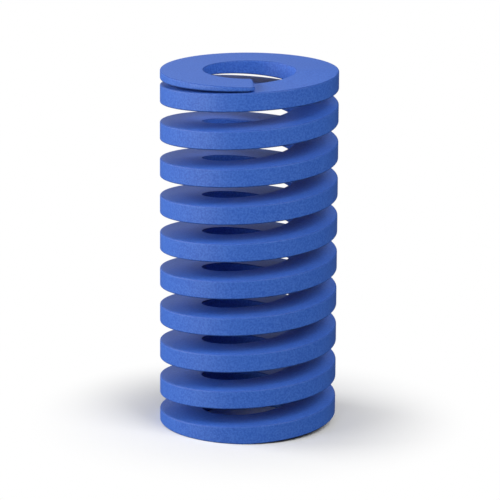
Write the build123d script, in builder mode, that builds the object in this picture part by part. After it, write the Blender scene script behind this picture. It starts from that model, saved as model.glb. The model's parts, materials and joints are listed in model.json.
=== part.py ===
import os
from math import cos, radians, sin

from build123d import *

# Die spring: one length of flat wire coiled right-handed, with closed and ground ends.
# It stands on its lower ground end, with the origin at that end's centre and +Z up its axis.

# What the spring is made for: a round pocket, a guide rod and a free length
pocket_diameter = 25.0
rod_diameter = 12.5
free_length = 50.0
pocket_clearance = 0.4
rod_clearance = 0.2

# Flat wire in section, with its corners broken
wire_thickness = 2.6
wire_corner = 0.3

# Turns of wire from tip to tip, and where the upper tip points, in degrees from +X
turns = 10.73
upper_tip_angle = -86.5

# Closed coils: the thin gap left between them, and at each end the turns from the tip
# at which the coil starts to open and at which it is fully open
closed_gap = 0.06
upper_open_start = 0.88
upper_open_end = 1.10
lower_open_start = 0.45
lower_open_end = 0.90

# Thickness left at each tip once the end is ground flat
upper_tip_thickness = 0.6
lower_tip_thickness = 0.5

# The wire is coiled this much too wide on each side, then ground true inside and out
grinding_stock = 0.02

# Bevel on the inner and outer edges of the ground ends
end_bevel = 0.15

# Points on each turn of the wire's centre line
points_per_turn = 12

# Sizes that follow
outer_radius = (pocket_diameter - pocket_clearance) / 2
inner_radius = (rod_diameter + rod_clearance) / 2
wire_width = outer_radius - inner_radius
coil_radius = (outer_radius + inner_radius) / 2
closed_lead = wire_thickness + closed_gap
closed_turns = (upper_open_start + upper_open_end + lower_open_start + lower_open_end) / 2
wire_rise = free_length + wire_thickness - upper_tip_thickness - lower_tip_thickness
open_lead = (wire_rise - closed_lead * closed_turns) / (turns - closed_turns)


def rise_from_tip(travel, open_start, open_end):
    """Height gained over a travel in turns from a tip: closed, then opening, then open."""
    opened = min(max((travel - open_start) / (open_end - open_start), 0), 1)
    opening_turns = (open_end - open_start) * (opened**3 - opened**4 / 2)
    open_turns = opening_turns + max(travel - open_end, 0)
    return closed_lead * travel + (open_lead - closed_lead) * open_turns


def wire_point(travel):
    """Point of the wire's centre line, with the travel in turns from the lower tip."""
    if travel < turns / 2:
        rise = rise_from_tip(travel, lower_open_start, lower_open_end)
    else:
        rise = wire_rise - rise_from_tip(turns - travel, upper_open_start, upper_open_end)
    angle = radians(upper_tip_angle + 360 * (travel - turns))
    height = lower_tip_thickness - wire_thickness / 2 + rise
    return (coil_radius * cos(angle), coil_radius * sin(angle), height)


point_count = round(turns * points_per_turn)
wire_points = [wire_point(turns * point / point_count) for point in range(point_count + 1)]

with BuildPart() as die_spring:
    # The coiled wire: its flat section follows a lead that is close, then open, then close
    with BuildLine() as centre_line:
        Spline(*wire_points)
    wire_start = centre_line.edges()[0]
    outward = (wire_points[0][0], wire_points[0][1], 0)
    with BuildSketch(Plane(origin=wire_start @ 0, x_dir=outward, z_dir=wire_start % 0)):
        wire_section = Rectangle(wire_width + 2 * grinding_stock, wire_thickness)
        chamfer(wire_section.vertices(), length=wire_corner)
    sweep(path=centre_line.line, is_frenet=True)

    # Bored to size for the rod, with a small lead-in at each end
    with BuildSketch(Plane.XZ):
        with BuildLine():
            Polyline(
                (0, 0),
                (inner_radius + end_bevel, 0),
                (inner_radius, end_bevel),
                (inner_radius, free_length - end_bevel),
                (inner_radius + end_bevel, free_length),
                (0, free_length),
                close=True,
            )
        make_face()
    revolve(axis=Axis.Z, mode=Mode.SUBTRACT)

    # Ground true outside and flat at both ends, with the outer edges bevelled
    with BuildSketch(Plane.XZ):
        outside = Rectangle(outer_radius, free_length, align=(Align.MIN, Align.MIN))
        chamfer(outside.vertices().group_by(Axis.X)[-1], length=end_bevel)
    revolve(axis=Axis.Z, mode=Mode.INTERSECT)

os.makedirs("parts", exist_ok=True)
die_spring.part.label = "die_spring"
export_step(die_spring.part, "parts/die_spring.step")
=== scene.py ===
import json
from math import cos, pi, radians, sin, tan

import bpy
from mathutils import Matrix, Vector


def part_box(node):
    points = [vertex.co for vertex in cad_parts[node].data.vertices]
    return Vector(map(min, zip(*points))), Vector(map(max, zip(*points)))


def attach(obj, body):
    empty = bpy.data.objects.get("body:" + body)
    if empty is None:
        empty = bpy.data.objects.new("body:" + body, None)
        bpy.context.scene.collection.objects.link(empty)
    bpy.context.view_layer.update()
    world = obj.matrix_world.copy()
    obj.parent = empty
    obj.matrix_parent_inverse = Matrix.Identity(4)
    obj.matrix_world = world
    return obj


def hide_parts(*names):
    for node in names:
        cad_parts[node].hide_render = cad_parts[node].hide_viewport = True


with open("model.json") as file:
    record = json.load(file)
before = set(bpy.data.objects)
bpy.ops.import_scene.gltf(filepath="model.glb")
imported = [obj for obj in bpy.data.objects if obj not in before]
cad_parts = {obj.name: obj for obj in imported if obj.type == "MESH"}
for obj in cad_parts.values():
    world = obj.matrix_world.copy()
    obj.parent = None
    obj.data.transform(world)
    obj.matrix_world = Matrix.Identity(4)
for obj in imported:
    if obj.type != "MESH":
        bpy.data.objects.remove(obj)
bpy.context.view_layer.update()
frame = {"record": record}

# The die spring: one length of flat wire, coiled right-handed, its ends closed, ground flat
# and painted over. Lengths are in metres, and MM turns a size in millimetres into them.
MM = 0.001

# Sizes read from the frame
low_corner, high_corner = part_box("die_spring")
mounts = {mount["name"]: mount for mount in frame["record"]["mounts"]}
free_length = high_corner[2] - low_corner[2]
outer_radius = (high_corner[0] - low_corner[0]) / 2
inner_radius = mounts["rod_bore"]["dims"]["r_mm"] * MM

# The wire and how it is coiled
wire_thickness = 2.6 * MM
wire_corner_radius = 0.2 * MM
turns = 10.73
upper_tip_angle = radians(-86.5)
closed_gap = 0.06 * MM
upper_opening = (0.88, 1.10)
lower_opening = (0.45, 0.90)
upper_tip_thickness = 0.6 * MM
lower_tip_thickness = 0.5 * MM
ground_edge = 0.15 * MM
tip_corner_radius = 0.8 * MM

# How finely the coil is modelled
steps_per_turn = 96
corner_segments = 5
tip_rings = 6

# Sizes that follow
wire_width = outer_radius - inner_radius
coil_radius = (outer_radius + inner_radius) / 2
closed_lead = wire_thickness + closed_gap
closed_turns = sum(upper_opening + lower_opening) / 2
wire_rise = free_length + wire_thickness - upper_tip_thickness - lower_tip_thickness
open_lead = (wire_rise - closed_lead * closed_turns) / (turns - closed_turns)
lower_tip_angle = upper_tip_angle - 2 * pi * turns


def linear_colour(code):
    """An sRGB colour written as #rrggbb, turned to linear red, green, blue and alpha."""
    channels = [int(code[place:place + 2], 16) / 255 for place in (1, 3, 5)]
    return [c / 12.92 if c <= 0.04045 else ((c + 0.055) / 1.055) ** 2.4 for c in channels] + [1.0]


def add_node(tree, kind, settings=(), links=()):
    """Adds a node. Settings name its own properties or its inputs; links give an input an output."""
    node = tree.nodes.new(kind)
    for name, value in dict(settings).items():
        if isinstance(name, int) or name in node.inputs:
            node.inputs[name].default_value = value
        else:
            setattr(node, name, value)
    for name, output in dict(links).items():
        tree.links.new(output, node.inputs[name])
    return node


def new_material(name):
    """A material with an empty node tree."""
    material = bpy.data.materials.new(name)
    material.use_nodes = True
    material.node_tree.nodes.clear()
    return material


def noise(tree, place, size, detail):
    """Noise with patches of a size in metres, from a place on the piece."""
    return add_node(
        tree, "ShaderNodeTexNoise", {"Scale": 1 / size, "Detail": detail}, {"Vector": place}
    ).outputs["Fac"]


def rise_from_tip(travel, opening):
    """Height gained over a travel in turns from a tip: closed, then opening, then open."""
    start, end = opening
    opened = min(max((travel - start) / (end - start), 0), 1)
    open_turns = (end - start) * (opened**3 - opened**4 / 2) + max(travel - end, 0)
    return closed_lead * travel + (open_lead - closed_lead) * open_turns


def wire_height(travel):
    """Height of the wire's centre line, with the travel in turns from the lower tip."""
    if travel < turns / 2:
        rise = rise_from_tip(travel, lower_opening)
    else:
        rise = wire_rise - rise_from_tip(turns - travel, upper_opening)
    return lower_tip_thickness - wire_thickness / 2 + rise


def modifier(piece, kind, **settings):
    """Adds a modifier with its settings and applies it."""
    change = piece.modifiers.new(kind.lower(), kind)
    for name, value in settings.items():
        setattr(change, name, value)
    bpy.ops.object.modifier_apply(modifier=change.name)


def ring_travels():
    """Travel of each ring of the coil, in turns: close together round the tips, else even."""
    tip = [tip_corner_radius * (1 - cos(pi / 2 * ring / tip_rings)) for ring in range(tip_rings + 1)]
    tip = [distance / (2 * pi * coil_radius) for distance in tip]
    count = round(turns * steps_per_turn)
    step = (turns - 2 * tip[-1]) / count
    body = [tip[-1] + step * ring for ring in range(1, count)]
    return tip + body + [turns - travel for travel in reversed(tip)]


def rounding_inset(distance, radius):
    """How far a rounded corner draws in at a distance from the face that it runs into."""
    reach = max(radius - distance, 0)
    return radius - (radius * radius - reach * reach) ** 0.5


def wire_surface(travel, across, up):
    """Point of the wire's surface, from a point of its section and the travel from the tip."""
    to_tip = min(travel, turns - travel) * 2 * pi * coil_radius
    centre = wire_height(travel)
    top = min(centre + wire_thickness / 2, free_length)
    bottom = max(centre - wire_thickness / 2, 0)

    # Grinding takes the wire's round corner down to a broken edge
    ground_off = centre + wire_thickness / 2 - top if up > 0 else bottom - centre + wire_thickness / 2
    rounding = max(wire_corner_radius - ground_off, ground_edge) / wire_corner_radius
    from_side = (wire_width / 2 - abs(across)) * rounding + rounding_inset(to_tip, tip_corner_radius)
    from_face = (wire_thickness / 2 - abs(up)) * rounding + rounding_inset(to_tip, ground_edge)

    reach = wire_width / 2 - from_side
    radius = coil_radius + (reach if across > 0 else -reach)
    height = top - from_face if up > 0 else bottom + from_face
    angle = lower_tip_angle + 2 * pi * travel
    return radius * cos(angle), radius * sin(angle), height


def corner_share(across, up):
    """1 on the crest of a rounded corner of the section, falling to 0 where it meets the flats."""
    from_side, from_face = wire_width / 2 - abs(across), wire_thickness / 2 - abs(up)
    return max(1 - abs(from_side - from_face) / wire_corner_radius, 0)


def coil_wire():
    """The spring: the wire's rounded section screwed up the axis, its ends ground flat."""
    bpy.ops.object.select_all(action="DESELECT")
    bpy.ops.mesh.primitive_plane_add(size=1, location=(coil_radius, 0, 0), rotation=(pi / 2, 0, 0))
    coil = bpy.context.object
    coil.name = "coiled_wire"
    coil.scale = (wire_width, wire_thickness, 1)
    bpy.ops.object.transform_apply(location=True, rotation=True, scale=True)

    # Round the section's four corners and keep only its outline
    bpy.ops.object.mode_set(mode="EDIT")
    bpy.ops.mesh.select_all(action="SELECT")
    bpy.ops.mesh.bevel(offset=wire_corner_radius, segments=corner_segments, affect="VERTICES")
    bpy.ops.mesh.delete(type="ONLY_FACE")
    bpy.ops.object.mode_set(mode="OBJECT")
    outline = [(vertex.co.x - coil_radius, vertex.co.z) for vertex in coil.data.vertices]

    # Screw it round the axis, then set each ring to its place along the wire
    travels = ring_travels()
    steps = len(travels) - 1
    modifier(coil, "SCREW", angle=2 * pi * turns, screw_offset=1, steps=steps, render_steps=steps)
    corner = coil.data.attributes.new("corner", "FLOAT", "POINT")
    for vertex in coil.data.vertices:
        ring, place = divmod(vertex.index, len(outline))
        vertex.co = wire_surface(travels[ring], *outline[place])
        corner.data[vertex.index].value = corner_share(*outline[place])

    # Close both tips
    bpy.ops.object.mode_set(mode="EDIT")
    bpy.ops.mesh.select_all(action="SELECT")
    bpy.ops.mesh.fill_holes(sides=0)
    bpy.ops.mesh.select_all(action="SELECT")
    bpy.ops.mesh.normals_make_consistent(inside=False)
    bpy.ops.object.mode_set(mode="OBJECT")
    bpy.ops.object.shade_smooth_by_angle(angle=radians(50))
    modifier(coil, "WEIGHTED_NORMAL", keep_sharp=True, weight=100)
    return coil


def blue_enamel():
    """Blue stoving enamel, sprayed thin over shot-peened spring steel and half matte.

    The eye sees a cobalt blue with a soft broad sheen, mottled finely by the peened steel under
    it, with a faint orange peel from the spray and darker along the corners, where it drew thin.
    """
    material = new_material("blue_stoving_enamel")
    tree = material.node_tree
    place = add_node(tree, "ShaderNodeTexCoord").outputs["Object"]

    # Drifts in the paint's depth over 8 mm, and a peel of 0.8 mm over a grain of 0.25 mm
    drift = noise(tree, place, 8 * MM, 3.0)
    peel = noise(tree, place, 0.8 * MM, 2.0)
    grain = noise(tree, place, 0.25 * MM, 1.0)

    # The colour drifts between two blues, mottles with the grain and darkens on the corners
    drifting = add_node(
        tree, "ShaderNodeMix",
        {"data_type": "RGBA", 6: linear_colour("#2856B5"), 7: linear_colour("#2F62C2")},
        {"Factor": drift},
    ).outputs[2]
    speck = add_node(
        tree, "ShaderNodeMapRange", {"From Min": 0.35, "From Max": 0.65, "To Min": 0.0, "To Max": 0.5},
        {"Value": grain},
    ).outputs["Result"]
    mottled = add_node(
        tree, "ShaderNodeMix", {"data_type": "RGBA", 7: linear_colour("#4F80D8")},
        {"Factor": speck, 6: drifting},
    ).outputs[2]
    corner = add_node(tree, "ShaderNodeAttribute", {"attribute_name": "corner"}).outputs["Fac"]
    thin = add_node(
        tree, "ShaderNodeMapRange", {"From Min": 0.0, "From Max": 1.0, "To Min": 0.0, "To Max": 0.75},
        {"Value": corner},
    ).outputs["Result"]
    colour = add_node(
        tree, "ShaderNodeMix", {"data_type": "RGBA", 7: linear_colour("#163C86")},
        {"Factor": thin, 6: mottled},
    ).outputs[2]

    # The corners are duller too, and the grain and the peel stand out a little
    dull = add_node(
        tree, "ShaderNodeMapRange", {"From Min": 0.0, "From Max": 0.5, "To Min": 0.5, "To Max": 0.8},
        {"Value": corner},
    ).outputs["Result"]
    grain_bump = add_node(
        tree, "ShaderNodeBump", {"Strength": 0.6, "Distance": 0.03 * MM}, {"Height": grain}
    )
    peel_bump = add_node(
        tree, "ShaderNodeBump", {"Strength": 0.4, "Distance": 0.04 * MM},
        {"Height": peel, "Normal": grain_bump.outputs["Normal"]},
    )
    paint = add_node(
        tree, "ShaderNodeBsdfPrincipled",
        {"IOR": 1.5, "Coat Weight": 0.15, "Coat Roughness": 0.35},
        {"Base Color": colour, "Roughness": dull, "Normal": peel_bump.outputs["Normal"]},
    )
    add_node(tree, "ShaderNodeOutputMaterial", links={"Surface": paint.outputs["BSDF"]})
    return material


def white_paper():
    """Matte white paper that shades off, away from the spring, into the white background.

    Only the camera sees it white. The light that it throws back is a dark table's, so that
    the spring's undersides and its inside stay deep.
    """
    material = new_material("matte_white_paper")
    tree = material.node_tree
    place = add_node(tree, "ShaderNodeTexCoord").outputs["Object"]
    reach = add_node(tree, "ShaderNodeVectorMath", {"operation": "LENGTH"}, {0: place}).outputs["Value"]
    away = add_node(
        tree, "ShaderNodeMapRange",
        {
            "interpolation_type": "SMOOTHSTEP",
            "From Min": 1.0 * outer_radius,
            "From Max": 2.6 * outer_radius,
        },
        {"Value": reach},
    ).outputs["Result"]
    paper = add_node(tree, "ShaderNodeBsdfDiffuse", {"Color": linear_colour("#E6E6E6")})
    table = add_node(tree, "ShaderNodeBsdfDiffuse", {"Color": linear_colour("#505050")})
    glow = add_node(tree, "ShaderNodeEmission", {"Color": (1, 1, 1, 1), "Strength": 1.0})
    white = add_node(
        tree, "ShaderNodeMixShader",
        links={0: away, 1: paper.outputs["BSDF"], 2: glow.outputs["Emission"]},
    )
    seen = add_node(tree, "ShaderNodeLightPath").outputs["Is Camera Ray"]
    surface = add_node(
        tree, "ShaderNodeMixShader", links={0: seen, 1: table.outputs["BSDF"], 2: white.outputs["Shader"]}
    )
    add_node(tree, "ShaderNodeOutputMaterial", links={"Surface": surface.outputs["Shader"]})
    return material


def lay_floor():
    """A pale floor under the spring, out to where the camera no longer sees it."""
    side = 6.0
    bpy.ops.object.select_all(action="DESELECT")
    bpy.ops.mesh.primitive_plane_add(size=side)
    floor = bpy.context.object
    floor.name = "floor"
    floor.data.materials.append(white_paper())


def softbox(name, azimuth, elevation, power, tint="#FFFFFF"):
    """A square area lamp aimed at the spring's middle. Azimuth counts from +X, in degrees."""
    distance = 0.6
    side = 0.35
    middle = Vector((0, 0, free_length / 2))
    flat = cos(radians(elevation))
    reach = Vector((flat * cos(radians(azimuth)), flat * sin(radians(azimuth)), sin(radians(elevation))))
    lamp = bpy.data.lights.new(name, "AREA")
    lamp.shape = "SQUARE"
    lamp.size = side
    lamp.energy = power
    lamp.color = linear_colour(tint)[:3]
    holder = bpy.data.objects.new(name, lamp)
    holder.location = middle + reach * distance
    holder.rotation_euler = reach.to_track_quat("Z", "Y").to_euler()
    holder.visible_camera = False
    bpy.context.scene.collection.objects.link(holder)


def light_room():
    """Faint even light from all round, and soft boxes: two on the left, the rest weaker.

    The one behind is low, weak and cool, and only lays a sheen on the flats that face up.
    """
    world = bpy.data.worlds.new("white_room")
    world.use_nodes = True
    tree = world.node_tree
    tree.nodes.clear()
    light = add_node(tree, "ShaderNodeBackground", {"Color": (1, 1, 1, 1), "Strength": 0.12})
    backdrop = add_node(tree, "ShaderNodeBackground", {"Color": (1, 1, 1, 1), "Strength": 1.0})
    seen = add_node(tree, "ShaderNodeLightPath").outputs["Is Camera Ray"]
    surface = add_node(
        tree, "ShaderNodeMixShader",
        links={0: seen, 1: light.outputs["Background"], 2: backdrop.outputs["Background"]},
    )
    add_node(tree, "ShaderNodeOutputWorld", links={"Surface": surface.outputs["Shader"]})
    bpy.context.scene.world = world
    softbox("left_box", azimuth=168, elevation=22, power=2.9)
    softbox("low_left_box", azimuth=-150, elevation=10, power=2.3)
    softbox("right_box", azimuth=-45, elevation=44, power=2.7)
    softbox("front_box", azimuth=-90, elevation=45, power=0.65)
    softbox("back_box", azimuth=104, elevation=16, power=0.27, tint="#D6DCFF")


def place_camera():
    """A long lens in front of the spring, looking down at it at the photograph's angle."""
    image_width = 500
    sensor_width = 36.0
    camera_elevation = radians(14.3)
    camera_reach = 0.448
    camera_roll = radians(0.34)
    spring_width_in_image = 177.0
    spring_middle_in_image = (248.5, 246.1)

    middle = Vector((0, 0, free_length / 2))
    place = middle + Vector((0, -camera_reach, camera_reach * tan(camera_elevation)))
    distance = (place - middle).length
    pixel = 2 * outer_radius / spring_width_in_image
    turn = (place - middle).to_track_quat("Z", "Y").to_matrix()
    across = (image_width / 2 - spring_middle_in_image[0]) * pixel
    down = (image_width / 2 - spring_middle_in_image[1]) * pixel
    aim = middle + turn @ Vector((across, -down, 0))

    lens = bpy.data.cameras.new("camera")
    lens.sensor_width = sensor_width
    lens.lens = distance / pixel * sensor_width / image_width
    lens.clip_end = 20
    camera = bpy.data.objects.new("camera", lens)
    facing = (place - aim).to_track_quat("Z", "Y").to_matrix().to_4x4()
    camera.matrix_world = Matrix.Translation(place) @ facing @ Matrix.Rotation(camera_roll, 4, "Z")
    bpy.context.scene.collection.objects.link(camera)
    bpy.context.scene.camera = camera


coil = coil_wire()
coil.data.materials.clear()
coil.data.materials.append(blue_enamel())
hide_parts("die_spring")
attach(coil, "root")

lay_floor()
light_room()
place_camera()
bpy.context.scene.view_settings.view_transform = "Standard"
